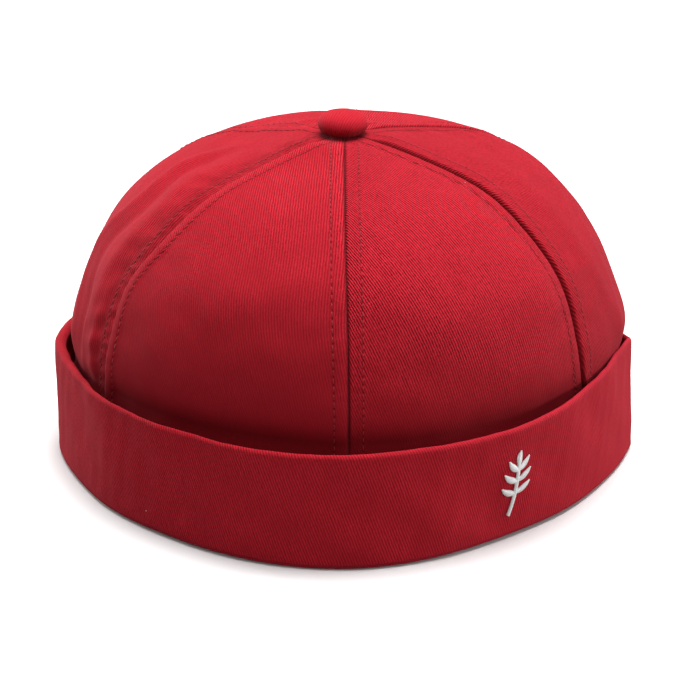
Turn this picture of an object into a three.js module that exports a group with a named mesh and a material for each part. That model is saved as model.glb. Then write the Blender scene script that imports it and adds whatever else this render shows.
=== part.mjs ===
// Docker cap: a close cap without a brim, sewn from six twill panels that meet under a covered
// button, with a wide cuff turned up all round its lower edge.
// Millimetres, +Z up. The front faces -Y, the wearer's left is +X, and the cap rests on z = 0.
import * as THREE from "three";

// Cuff: one folded band, with an outer wall, a fold that the cap rests on and a hem inside
const CUFF_HALF_WIDTH = 99.5;
const CUFF_HEIGHT = 40;
const CUFF_WALL = 3;
const FOLD_FLOOR = 2.4;
const HEM_HEIGHT = 19;
const HEM_WALL = 1.5;
const REST_WIDTH = 3.6;
const RIM_LEAN = 2.5;

// Crown: six panels of one cloth, standing in the channel between cuff and hem
const CROWN_RISE = 72.2;
const CLOTH = 1.4;
const CROWN_SLACK = 5;
const PANEL_PUFF = 1.3;
const SEAM_GAP = 0.3;
const EYELET_WIDTH = 4.6;

// Button on top, and the stud and back plate that hold it
const BUTTON_WIDTH = 17;
const BUTTON_HEIGHT = 7.6;
const STUD_WIDTH = 3.8;
const BACK_WIDTH = 13;
const BACK_THICKNESS = 1.2;

// Clearance between pieces that touch in the real cap
const CLEARANCE = 0.35;

// How fine the meshes are
const CUFF_STEPS = 96;
const PANEL_STEPS = 12;
const ROWS_PER_SPAN = 2;
const BUTTON_STEPS = 24;
const STUD_STEPS = 16;

// Stations at equal angles round the cap, from the front towards the wearer's left.
// outline: cuff radius at the fold, of CUFF_HALF_WIDTH. lean: how far the rim stands out beyond
// the fold, of RIM_LEAN. slack: how far the crown stays inside the rim, of CROWN_SLACK.
const STATIONS = [
  { outline: 0.956, lean: 0.45, slack: 0.81 },
  { outline: 0.925, lean: 0.7, slack: 0.5 },
  { outline: 0.94, lean: 0.5, slack: 0.38 },
  { outline: 1, lean: -0.55, slack: 0.36 },
  { outline: 0.975, lean: -0.4, slack: 0.36 },
  { outline: 0.96, lean: -0.3, slack: 0.44 },
  { outline: 0.96, lean: -0.3, slack: 0.56 },
  { outline: 0.955, lean: -0.3, slack: 0.72 },
  { outline: 0.958, lean: -0.3, slack: 0.7 },
  { outline: 0.996, lean: -0.15, slack: 1.06 },
  { outline: 0.947, lean: 0.5, slack: 0.6 },
  { outline: 0.937, lean: 0.2, slack: 0.47 },
];

// The crown's line from the cuff's rim to its top.
// rise: height above the rim, of CROWN_RISE. reach: radius, of the crown's widest radius there.
const CROWN_LINE = [
  { rise: 0, reach: 0.996 },
  { rise: 0.1, reach: 0.998 },
  { rise: 0.2, reach: 0.988 },
  { rise: 0.33, reach: 0.953 },
  { rise: 0.46, reach: 0.908 },
  { rise: 0.61, reach: 0.838 },
  { rise: 0.75, reach: 0.737 },
  { rise: 0.87, reach: 0.577 },
  { rise: 0.955, reach: 0.302 },
  { rise: 1, reach: 0 },
];

// Seams from the front towards the wearer's left, and the panel that follows each.
// azimuth: degrees at the rim. sway: degrees that the seam has moved by when it reaches the top,
// most of them in its upper half.
const SEAMS = [
  { azimuth: 0.8, sway: -0.8, panel: "panel_front_left" },
  { azimuth: 60, sway: -7.8, panel: "panel_side_left" },
  { azimuth: 120, sway: 3, panel: "panel_back_left" },
  { azimuth: 180, sway: 0, panel: "panel_back_right" },
  { azimuth: 240, sway: -4, panel: "panel_side_right" },
  { azimuth: 299.6, sway: 10, panel: "panel_front_right" },
];

// The button's outline. out: of its half width. up: of its height.
const BUTTON_LINE = [
  { out: 0, up: 0 },
  { out: 0.8, up: 0 },
  { out: 0.96, up: 0.12 },
  { out: 1, up: 0.34 },
  { out: 0.94, up: 0.6 },
  { out: 0.76, up: 0.82 },
  { out: 0.42, up: 0.96 },
  { out: 0, up: 1 },
];

// Faces of a grid cell and of a cap's cell, as triangles of its corners
const CELL = [0, 1, 2, 0, 2, 3];

const TURN = 2 * Math.PI;
const { degToRad, euclideanModulo, lerp } = THREE.MathUtils;

/** A station value at any azimuth, on a smooth closed line through the stations. */
function around(column, azimuth) {
  const count = STATIONS.length;
  const pad = 2;
  const knots = [];
  for (let i = -pad; i <= count + pad; i += 1) {
    knots.push(new THREE.Vector2(i, STATIONS[euclideanModulo(i, count)][column]));
  }
  const place = (euclideanModulo(azimuth, TURN) / TURN) * count;
  return new THREE.SplineCurve(knots).getPoint((place + pad) / (count + 2 * pad)).y;
}

/** Radius of the cuff's outer face at an azimuth and a height. */
function cuffRadius(azimuth, height) {
  const lean = RIM_LEAN * around("lean", azimuth) * (height / CUFF_HEIGHT);
  return CUFF_HALF_WIDTH * around("outline", azimuth) + lean;
}

/** The point at a radius, azimuth and height. */
function polar(radius, azimuth, height) {
  return new THREE.Vector3(radius * Math.sin(azimuth), -radius * Math.cos(azimuth), height);
}

/** A closed mesh through loops of points, each loop round a thin section of the wall. */
function loft(name, loops, material, isRing) {
  const size = loops[0].length;
  const points = loops.flat();
  const faces = [];
  const addCell = (corners) => faces.push(...CELL.map((corner) => corners[corner]));
  const spans = isRing ? loops.length : loops.length - 1;
  for (let row = 0; row < spans; row += 1) {
    const here = row * size;
    const next = ((row + 1) % loops.length) * size;
    for (let i = 0; i < size; i += 1) {
      const after = (i + 1) % size;
      addCell([here + i, here + after, next + after, next + i]);
    }
  }
  if (!isRing) {
    const last = (loops.length - 1) * size;
    for (let i = 0; i < size / 2 - 1; i += 1) {
      const across = size - 1 - i;
      addCell([i, across, across - 1, i + 1]);
      addCell([last + i, last + i + 1, last + across - 1, last + across]);
    }
  }
  const geometry = new THREE.BufferGeometry().setFromPoints(points);
  geometry.setIndex(volumeOf(points, faces) < 0 ? faces.reverse() : faces);
  geometry.computeVertexNormals();
  return named(name, geometry, material);
}

/** Six times the volume that the faces enclose, negative when they face inwards. */
function volumeOf(points, faces) {
  let sum = 0;
  for (let i = 0; i < faces.length; i += CELL.length / 2) {
    const [a, b, c] = [points[faces[i]], points[faces[i + 1]], points[faces[i + 2]]];
    sum += new THREE.Vector3().crossVectors(b, c).dot(a);
  }
  return sum;
}

/** A mesh with its node's name. */
function named(name, geometry, material) {
  const mesh = new THREE.Mesh(geometry, material);
  mesh.name = name;
  return mesh;
}

/** The cuff's section at an azimuth: up the outer wall, over the rim and down to the hem. */
function cuffSection(azimuth) {
  const channel = CLOTH + 2 * CLEARANCE;
  const total = CUFF_WALL + channel + HEM_WALL;
  const flatStart = (total - REST_WIDTH) / 2;
  const round = CUFF_WALL / 2;
  const rimCentre = CUFF_HEIGHT - round;
  const section = [
    { inset: flatStart, height: 0 },
    { inset: flatStart / 4, height: FOLD_FLOOR / 4 },
    { inset: 0, height: FOLD_FLOOR },
    { inset: 0, height: rimCentre / 3 },
    { inset: 0, height: (2 * rimCentre) / 3 },
  ];
  const rimPoints = 6;
  for (let i = 0; i <= rimPoints; i += 1) {
    const angle = (Math.PI * i) / rimPoints;
    const inset = round * (1 - Math.cos(angle));
    section.push({ inset, height: rimCentre + round * Math.sin(angle) });
  }
  section.push(
    { inset: CUFF_WALL, height: HEM_HEIGHT },
    { inset: CUFF_WALL, height: FOLD_FLOOR },
    { inset: CUFF_WALL + channel, height: FOLD_FLOOR },
    { inset: CUFF_WALL + channel, height: HEM_HEIGHT },
    { inset: total, height: HEM_HEIGHT },
    { inset: total, height: FOLD_FLOOR },
    { inset: total - flatStart / 4, height: FOLD_FLOOR / 4 },
    { inset: total - flatStart, height: 0 },
  );
  return section.map(({ inset, height }) => polar(cuffRadius(azimuth, height) - inset, azimuth, height));
}

/** The cuff with its fold and hem, as one ring. */
function makeCuff(material) {
  const loops = [];
  for (let i = 0; i < CUFF_STEPS; i += 1) loops.push(cuffSection((TURN * i) / CUFF_STEPS));
  return loft("cuff", loops, material, true);
}

/** Rows up the crown's wall: in the channel they follow the cuff, above it the crown's line. */
function crownRows() {
  const edge = FOLD_FLOOR + CLEARANCE;
  const free = HEM_HEIGHT + CLEARANCE;
  const rows = [
    { height: edge, seat: 1, reach: 1, rise: 0 },
    { height: free, seat: 1, reach: 1, rise: 0 },
    { height: (free + CUFF_HEIGHT) / 2, seat: 0.5, reach: CROWN_LINE[0].reach, rise: 0 },
  ];
  const spans = CROWN_LINE.length - 1;
  const mirrored = { rise: CROWN_LINE[spans - 1].rise, reach: -CROWN_LINE[spans - 1].reach };
  const line = [...CROWN_LINE, mirrored].map(({ rise, reach }) => new THREE.Vector2(reach, rise));
  const curve = new THREE.SplineCurve(line);
  for (let i = 0; i <= spans * ROWS_PER_SPAN; i += 1) {
    const { x: reach, y: rise } = curve.getPoint(i / ROWS_PER_SPAN / (spans + 1));
    rows.push({ height: CUFF_HEIGHT + CROWN_RISE * rise, seat: 0, reach, rise });
  }
  return rows;
}

/** Radius of the crown's outer face, without its puff, at an azimuth and a row. */
function crownRadius(azimuth, { height, seat, reach }) {
  const hole = EYELET_WIDTH / 2;
  const seated = cuffRadius(azimuth, height) - CUFF_WALL - CLEARANCE;
  const slack = CROWN_SLACK * around("slack", azimuth);
  const widest = cuffRadius(azimuth, CUFF_HEIGHT) - CUFF_WALL - slack;
  return lerp(hole + (widest - hole) * reach, seated, seat);
}

/** Direction out of the crown's wall at an azimuth and a row, as radius and height. */
function crownNormal(azimuth, rows, index) {
  const below = rows[Math.max(index - 1, 0)];
  const above = rows[Math.min(index + 1, rows.length - 1)];
  const run = crownRadius(azimuth, above) - crownRadius(azimuth, below);
  const climb = above.height - below.height;
  const isTop = index === rows.length - 1;
  return isTop ? new THREE.Vector2(0, 1) : new THREE.Vector2(climb, -run).normalize();
}

/** One panel between two seams, as a wall that puffs out between them. */
function makePanel(seam, nextSeam, rows, material) {
  const turn = nextSeam.azimuth < seam.azimuth ? 360 : 0;
  const loops = rows.map((row, index) => {
    const swayed = row.rise ** 2;
    const start = degToRad(seam.azimuth + seam.sway * swayed);
    const end = degToRad(nextSeam.azimuth + turn + nextSeam.sway * swayed);
    const fullness = PANEL_PUFF * Math.sin(Math.PI * row.rise);
    const outer = [];
    const inner = [];
    for (let i = 0; i <= PANEL_STEPS; i += 1) {
      const share = i / PANEL_STEPS;
      const middle = lerp(start, end, share);
      const radius = crownRadius(middle, row);
      const trim = (SEAM_GAP / 2 / radius) * (1 - 2 * share);
      const azimuth = middle + trim;
      const normal = crownNormal(azimuth, rows, index);
      const puff = fullness * (1 - (2 * share - 1) ** 4);
      outer.push(polar(radius + normal.x * puff, azimuth, row.height + normal.y * puff));
      const depth = CLOTH - puff;
      inner.unshift(polar(radius - normal.x * depth, azimuth, row.height - normal.y * depth));
    }
    return [...outer, ...inner];
  });
  return loft(seam.panel, loops, material, false);
}

/** A solid of revolution about the cap's own axis, from points of radius and height. */
function turned(name, outline, steps, material) {
  const geometry = new THREE.LatheGeometry(outline, steps);
  geometry.rotateX(Math.PI / 2);
  return named(name, geometry, material);
}

/** The covered button, just above the panels' tips. */
function makeButton(material) {
  const foot = CUFF_HEIGHT + CROWN_RISE + CLEARANCE;
  const outline = BUTTON_LINE.map(({ out, up }) => {
    return new THREE.Vector2((out * BUTTON_WIDTH) / 2, foot + up * BUTTON_HEIGHT);
  });
  return turned("crown_button", outline, BUTTON_STEPS, material);
}

/** The button's stud, through the eyelet, with the plate that holds it inside. */
function makeStud(material) {
  const head = CUFF_HEIGHT + CROWN_RISE;
  const plateTop = head - CLOTH - CLEARANCE;
  const outline = [
    new THREE.Vector2(0, plateTop - BACK_THICKNESS),
    new THREE.Vector2(BACK_WIDTH / 2, plateTop - BACK_THICKNESS),
    new THREE.Vector2(BACK_WIDTH / 2, plateTop),
    new THREE.Vector2(STUD_WIDTH / 2, plateTop),
    new THREE.Vector2(STUD_WIDTH / 2, head),
    new THREE.Vector2(0, head),
  ];
  return turned("button_stud", outline, STUD_STEPS, material);
}

const twill = new THREE.MeshStandardMaterial({ color: 0x9e1f33, roughness: 0.95, metalness: 0 });
const steel = new THREE.MeshStandardMaterial({ color: 0xb4b4b0, roughness: 0.4, metalness: 1 });

const cap = new THREE.Group();
const rows = crownRows();
SEAMS.forEach((seam, i) => cap.add(makePanel(seam, SEAMS[(i + 1) % SEAMS.length], rows, twill)));
cap.add(makeCuff(twill), makeButton(twill), makeStud(steel));

// The origin is under the middle of the cap's width and depth
const middle = new THREE.Box3().setFromObject(cap).getCenter(new THREE.Vector3());
cap.position.set(-middle.x, -middle.y, 0);

export default cap;
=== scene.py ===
"""A docker cap in dark red cotton twill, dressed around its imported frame.

Each class is one sub-assembly of the cap and holds its sizes in millimetres; meshes are
written in metres. The front of the cap faces -Y, the wearer's left is +X and +Z is up. An
azimuth is an angle from the front towards the wearer's left.
"""

from __future__ import annotations

import logging
import math
from dataclasses import dataclass, field
from enum import Enum

import bpy
import numpy as np
from bpy.types import Material, Node, NodeSocket, NodeTree, Object
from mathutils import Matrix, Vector
from numpy import ndarray

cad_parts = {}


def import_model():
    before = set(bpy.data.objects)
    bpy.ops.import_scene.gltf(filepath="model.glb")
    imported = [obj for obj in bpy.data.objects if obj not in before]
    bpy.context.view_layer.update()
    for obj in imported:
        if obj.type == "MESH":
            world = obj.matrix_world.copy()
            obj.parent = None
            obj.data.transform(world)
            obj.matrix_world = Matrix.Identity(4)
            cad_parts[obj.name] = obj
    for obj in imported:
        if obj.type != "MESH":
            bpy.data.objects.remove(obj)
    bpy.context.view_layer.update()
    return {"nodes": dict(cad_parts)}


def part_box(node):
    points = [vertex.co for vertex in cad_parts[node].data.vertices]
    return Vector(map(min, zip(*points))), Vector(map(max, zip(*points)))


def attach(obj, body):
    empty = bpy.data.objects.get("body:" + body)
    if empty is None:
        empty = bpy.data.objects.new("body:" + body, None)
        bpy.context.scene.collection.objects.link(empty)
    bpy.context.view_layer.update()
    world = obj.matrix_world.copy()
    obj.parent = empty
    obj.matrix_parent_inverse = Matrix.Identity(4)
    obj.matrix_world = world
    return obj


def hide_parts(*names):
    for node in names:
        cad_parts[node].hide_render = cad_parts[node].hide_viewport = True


METRES = 0.001
TURN = 2 * math.pi
BODY = "root"
WEAVE_MAP, SEAM_MAP = "weave", "seam"
WEAR_AND_SHADE_LAYER, RIB_AND_LIGHT_LAYER = "wear", "ribs"
RGB = tuple[float, float, float]
LOG = logging.getLogger("docker_cap")


class Side(Enum):
    """Which edge of a panel a seam is on, seen from outside."""

    START = 1
    END = -1


class Slot(Enum):
    """Names of material slots."""

    TWILL = "twill"
    STUD = "stud"


# Numbers and lines


@dataclass(frozen=True)
class ClosedLine:
    """A smooth closed line through values at equal azimuths, front first."""

    values: tuple[float, ...]

    def at(self, azimuth: ndarray) -> ndarray:
        """Value of the line.

        Args:
            azimuth: where, in radians.

        Returns:
            One value for each azimuth.
        """
        count = len(self.values)
        waves = np.fft.rfft(self.values) / count
        total = np.full(np.shape(azimuth), waves[0].real)
        for order in range(1, len(waves)):
            share = 1 if 2 * order == count else 2
            total = total + share * (waves[order] * np.exp(1j * order * azimuth)).real
        return total


@dataclass(frozen=True)
class Ripple:
    """Soft uneven waves, the same each run."""

    seed: int
    height: float
    longest: float
    shortest: float
    count: int = 9

    def at(self, x: ndarray, y: ndarray) -> ndarray:
        """Height of the waves.

        Args:
            x: first coordinate.
            y: second coordinate.

        Returns:
            Their heights.
        """
        draw = np.random.default_rng(self.seed)
        total = np.zeros(np.broadcast(x, y).shape)
        for _ in range(self.count):
            length = draw.uniform(self.shortest, self.longest)
            turn = draw.uniform(0, TURN)
            phase = draw.uniform(0, TURN)
            total += np.sin(TURN * (x * math.cos(turn) + y * math.sin(turn)) / length + phase)
        return self.height * total / math.sqrt(self.count)


def cubic(knots: ndarray, samples: ndarray) -> ndarray:
    """A natural cubic curve through knots that are one step apart.

    Args:
        knots: the values to pass through, one row each.
        samples: places along the curve, in steps.

    Returns:
        The curve's value at each place.
    """
    count = len(knots)
    system = np.eye(count)
    bend = np.zeros_like(knots)
    for i in range(1, count - 1):
        system[i, i - 1 : i + 2] = (1, 4, 1)
        bend[i] = 6 * (knots[i - 1] - 2 * knots[i] + knots[i + 1])
    curve = np.linalg.solve(system, bend)
    low = np.clip(samples.astype(int), 0, count - 2)
    t = (samples - low)[:, None]
    sag = ((1 - t) ** 3 - (1 - t)) * curve[low] + (t**3 - t) * curve[low + 1]
    return knots[low] * (1 - t) + knots[low + 1] * t + sag / 6


def trace(path: tuple[float, ...], rise: ndarray) -> ndarray:
    """Azimuths of a line up the crown.

    Args:
        path: its azimuths in degrees at equal steps of height, from the rim to the top.
        rise: 0 at the rim to 1 at the top.

    Returns:
        The azimuth in radians at each height.
    """
    steps = np.asarray(rise) * (len(path) - 1)
    knots = np.radians(np.array(path))[:, None]
    return cubic(knots, steps.ravel()).reshape(steps.shape)


def ease(value: ndarray, start: float, end: float) -> ndarray:
    """A soft step from 0 at start to 1 at end."""
    share = np.clip((value - start) / (end - start), 0, 1)
    return share * share * (3 - 2 * share)


def fade(value: ndarray, start: float, end: float) -> ndarray:
    """A soft step from 1 at start to 0 at end."""
    return 1 - ease(value, start, end)


def hump(value: ndarray, width: float) -> ndarray:
    """A soft hump of height 1 at 0."""
    return np.exp(-((value / width) ** 2))


def between(ends: tuple[float, float], share: ndarray) -> ndarray:
    """A value on the way from the first end to the second."""
    return ends[0] + (ends[1] - ends[0]) * share


def off_centre(azimuth: ndarray, centre: ndarray | float) -> ndarray:
    """The shorter way round from a centre, in radians."""
    return (azimuth - centre + math.pi) % TURN - math.pi


def stack(*parts: ndarray) -> ndarray:
    """Points from arrays of coordinates."""
    return np.stack(np.broadcast_arrays(*parts), axis=-1)


def unit(vectors: ndarray) -> ndarray:
    """The vectors at length 1."""
    return vectors / np.linalg.norm(vectors, axis=-1, keepdims=True)


def frame_box(node: str) -> tuple[ndarray, ndarray]:
    """The lowest and highest corners of one of the frame's nodes, in millimetres."""
    low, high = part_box(node)
    return np.array(low) / METRES, np.array(high) / METRES


# Meshes


def add_object(name: str, data: bpy.types.ID) -> Object:
    """Put an object into the scene.

    Args:
        name: its name.
        data: its mesh, light or camera.

    Returns:
        The object.
    """
    thing = bpy.data.objects.new(name, data)
    bpy.context.scene.collection.objects.link(thing)
    return thing


@dataclass
class Shape:
    """Points, faces and what the finish reads at the points of one closed mesh.

    weave and seam are coordinates in millimetres, wear is above 0 where the cloth is
    worn pale and where a highlight is painted, and below 0 where it is deep and where shade is
    painted, ribs is the twill's strength, which also paints light on the cloth,
    and inner is true on the cloth's wrong side.
    """

    points: ndarray
    quads: ndarray
    caps: list[list[int]] = field(default_factory=list)
    weave: ndarray | None = None
    seam: ndarray | None = None
    wear: ndarray | None = None
    ribs: ndarray | None = None
    inner: ndarray | None = None

    def is_inside_out(self) -> bool:
        """Whether the faces look inwards, from the volume that they enclose.

        Returns:
            True when they do.
        """
        a, b, c, d = (self.points[self.quads[:, i]] for i in range(4))
        first = np.einsum("ij,ij->i", np.cross(a, b), c)
        second = np.einsum("ij,ij->i", np.cross(a, c), d)
        return bool(np.sum(first + second) < 0)

    def build(self, name: str, *materials: Material) -> Object:
        """Make the Blender object.

        Args:
            name: the piece's name.
            materials: the outer finish, then the inner one where the shape has one.

        Returns:
            The new object, in the scene and in metres.
        """
        turn = -1 if self.is_inside_out() else 1
        quads, caps = self.quads[:, ::turn], [cap[::turn] for cap in self.caps]
        loops = np.concatenate([quads.ravel(), *caps]).astype(np.int32)
        sizes = np.array([4] * len(quads) + [len(cap) for cap in caps])
        starts = np.concatenate([[0], np.cumsum(sizes)[:-1]]).astype(np.int32)
        mesh = bpy.data.meshes.new(name)
        mesh.vertices.add(len(self.points))
        mesh.vertices.foreach_set("co", (self.points * METRES).astype(np.float32).ravel())
        mesh.loops.add(len(loops))
        mesh.loops.foreach_set("vertex_index", loops)
        mesh.polygons.add(len(sizes))
        mesh.polygons.foreach_set("loop_start", starts)
        mesh.update(calc_edges=True)
        mesh.polygons.foreach_set("use_smooth", np.ones(len(sizes), dtype=bool))
        for layer, values in ((WEAVE_MAP, self.weave), (SEAM_MAP, self.seam)):
            if values is not None:
                spread = mesh.uv_layers.new(name=layer)
                spread.data.foreach_set("uv", values[loops].astype(np.float32).ravel())
        for layer, values in ((WEAR_AND_SHADE_LAYER, self.wear), (RIB_AND_LIGHT_LAYER, self.ribs)):
            if values is not None:
                mark = mesh.attributes.new(layer, "FLOAT", "POINT")
                mark.data.foreach_set("value", values.astype(np.float32))
        for material in materials:
            mesh.materials.append(material)
        if self.inner is not None:
            slots = np.zeros(len(sizes), dtype=np.int32)
            slots[: len(quads)] = np.all(self.inner[self.quads], axis=1)
            mesh.polygons.foreach_set("material_index", slots)
        mesh.validate()
        return add_object(name, mesh)


def tube(index: ndarray, is_ring: bool = False) -> ndarray:
    """Faces between neighbouring loops of points.

    Args:
        index: the points' numbers, rows by loop points as the last two axes.
        is_ring: whether the last row meets the first.

    Returns:
        Four corners for each face.
    """
    here = index if is_ring else index[..., :-1, :]
    above = np.roll(index, -1, axis=-2) if is_ring else index[..., 1:, :]
    cells = [here, np.roll(here, -1, axis=-1), np.roll(above, -1, axis=-1), above]
    return np.stack(cells, axis=-1).reshape(-1, 4)


def loft(grid: ndarray, is_ring: bool, **layers: ndarray) -> Shape:
    """A closed shape through rows of points, each row a loop round a thin section.

    Args:
        grid: rows by loop points by 3.
        is_ring: whether the last row meets the first.
        layers: the finish's values on the same grid.

    Returns:
        The shape.
    """
    rows, size = grid.shape[:2]
    index = np.arange(rows * size).reshape(rows, size)
    quads = [tube(index, is_ring)]
    if not is_ring:
        half = np.arange(size // 2 - 1)
        across = size - 1 - half
        quads.append(index[0][stack(half, across, across - 1, half + 1)])
        quads.append(index[-1][stack(half, half + 1, across - 1, across)])
    flat = {name: layer.reshape(rows * size, *layer.shape[2:]) for name, layer in layers.items()}
    return Shape(grid.reshape(-1, 3), np.concatenate(quads), **flat)


def threads(paths: ndarray, normals: ndarray, radius: float) -> Shape:
    """Short round threads along many paths at once, with flat closed ends.

    Args:
        paths: threads by points by 3.
        normals: the surface's direction at each point.
        radius: the thread's radius.

    Returns:
        All the threads as one shape.
    """
    sides, end_size, map_step = 6, 0.7, 7.0
    count, steps = paths.shape[:2]
    along = unit(np.gradient(paths, axis=1))
    out = unit(normals - along * np.sum(normals * along, axis=-1, keepdims=True))
    side = np.cross(along, out)
    angle = np.arange(sides) * TURN / sides
    taper = np.ones(steps)
    taper[[0, -1]] = end_size
    ring = np.cos(angle)[:, None] * side[:, :, None] + np.sin(angle)[:, None] * out[:, :, None]
    points = paths[:, :, None] + radius * taper[None, :, None, None] * ring
    index = np.arange(count * steps * sides).reshape(count, steps, sides)
    caps = [list(loop[::-1]) for loop in index[:, 0]] + [list(loop) for loop in index[:, -1]]
    lengths = np.linalg.norm(np.diff(paths, axis=1), axis=-1)
    travel = np.pad(np.cumsum(lengths, axis=1), ((0, 0), (1, 0)))
    travel = travel + map_step * np.arange(count)[:, None]
    weave = stack(radius * angle, travel[:, :, None]).reshape(-1, 2)
    return Shape(points.reshape(-1, 3), tube(index), caps, weave=weave)


# Shader groups


class Wires:
    """A node tree and short calls for its nodes. Values are sockets or plain values."""

    def __init__(self, tree: NodeTree) -> None:
        """Take a node tree."""
        self.tree = tree

    def feed(self, node: Node, values: dict[str | int, object]) -> None:
        """Link a node's inputs or set their own values.

        Args:
            node: the node.
            values: what each input takes, by its name or place.
        """
        for place, value in values.items():
            if isinstance(value, NodeSocket):
                self.tree.links.new(value, node.inputs[place])
            else:
                node.inputs[place].default_value = value

    def node(self, kind: str, values: dict[str | int, object], **options: object) -> Node:
        """Add a node.

        Args:
            kind: the node's kind.
            values: what each input takes.
            options: the node's own settings.

        Returns:
            The node.
        """
        node = self.tree.nodes.new(f"ShaderNode{kind}")
        for name, option in options.items():
            setattr(node, name, option)
        self.feed(node, values)
        return node

    def math(self, operation: str, *values: object) -> NodeSocket:
        """A Math node's result."""
        return self.node("Math", dict(enumerate(values)), operation=operation).outputs[0]

    def plus(self, base: object, value: object, share: object, middle: float = 0.0) -> NodeSocket:
        """A share of a value, counted from its middle, on top of a base.

        Args:
            base: what it is added to.
            value: the value.
            share: how much of it counts.
            middle: the value that adds nothing.

        Returns:
            The sum's socket.
        """
        if middle:
            value = self.math("SUBTRACT", value, middle)
        return self.math("MULTIPLY_ADD", value, share, base)

    def mix(self, share: object, first: object, second: object) -> NodeSocket:
        """A colour between two colours: share 0 gives the first and 1 the second."""
        return self.node("Mix", {0: share, 6: first, 7: second}, data_type="RGBA").outputs[2]

    def noise(self, place: NodeSocket, scale: float, detail: float) -> NodeSocket:
        """A noise value about 0.5."""
        return self.node("TexNoise", {"Vector": place, "Scale": scale, "Detail": detail}).outputs[0]

    def span(
        self, value: object, source: tuple[float, float], target: tuple[float, float]
    ) -> NodeSocket:
        """A value moved from one range to another, and held inside it.

        Args:
            value: the value.
            source: its range.
            target: the new range.

        Returns:
            The result's socket.
        """
        names = "Value", "From Min", "From Max", "To Min", "To Max"
        return self.node("MapRange", dict(zip(names, (value, *source, *target)))).outputs[0]

    def stripes(self, turns: NodeSocket) -> NodeSocket:
        """Soft stripes between 0 and 1, one for each whole number."""
        wave = self.math("SINE", self.math("MULTIPLY", turns, TURN))
        return self.span(wave, (-1, 1), (0, 1))

    def stretch(self, place: NodeSocket, factors: RGB) -> NodeSocket:
        """Coordinates times one factor for each axis."""
        return self.node("VectorMath", {0: place, 1: factors}, operation="MULTIPLY").outputs[0]

    def split(self, place: NodeSocket) -> tuple[NodeSocket, NodeSocket]:
        """The first two of three coordinates."""
        return tuple(self.node("SeparateXYZ", {0: place}).outputs[:2])

    def placed(self, group: NodeTree, values: dict[str | int, object]) -> Node:
        """A shader group in this tree."""
        return self.node("Group", values, node_tree=group)

    def surface(self, name: str) -> NodeSocket:
        """Surface coordinates that the meshes carry, in millimetres."""
        return self.node("UVMap", {}, uv_map=name).outputs[0]

    def layer(self, name: str) -> NodeSocket:
        """A value that the meshes carry at their points."""
        return self.node("Attribute", {}, attribute_name=name).outputs["Fac"]

    def bump(self, height: NodeSocket, depth: float) -> NodeSocket:
        """A surface raised by a height, where 1 stands for the depth in millimetres."""
        values = {"Height": height, "Distance": depth * METRES, "Strength": 1.0}
        return self.node("Bump", values).outputs[0]


class Group(Wires):
    """A shader node group with named sockets."""

    def __init__(self, name: str, takes: dict[str, float | tuple[float, ...]]) -> None:
        """Start a group with its inputs.

        Args:
            name: the group's name.
            takes: the inputs and their own values: a number, a place or a colour.
        """
        super().__init__(bpy.data.node_groups.new(name, "ShaderNodeTree"))
        entry = self.tree.nodes.new("NodeGroupInput")
        self.exit = self.tree.nodes.new("NodeGroupOutput")
        kinds = {1: "Float", 3: "Vector", 4: "Color"}
        for title, value in takes.items():
            kind = kinds[np.size(value)]
            self.socket(title, "INPUT", kind).default_value = value
        self.inputs = [entry.outputs[title] for title in takes]

    def socket(self, title: str, way: str, kind: str) -> bpy.types.NodeTreeInterfaceSocket:
        """Add a socket to the group."""
        interface = self.tree.interface
        return interface.new_socket(name=title, in_out=way, socket_type=f"NodeSocket{kind}")

    def gives(self, outputs: dict[str, NodeSocket]) -> NodeTree:
        """Add the outputs and feed them.

        Args:
            outputs: what each output puts out.

        Returns:
            The finished group.
        """
        for title, source in outputs.items():
            self.socket(title, "OUTPUT", "Color" if title == "Color" else "Float")
            self.tree.links.new(source, self.exit.inputs[title])
        return self.tree


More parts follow.
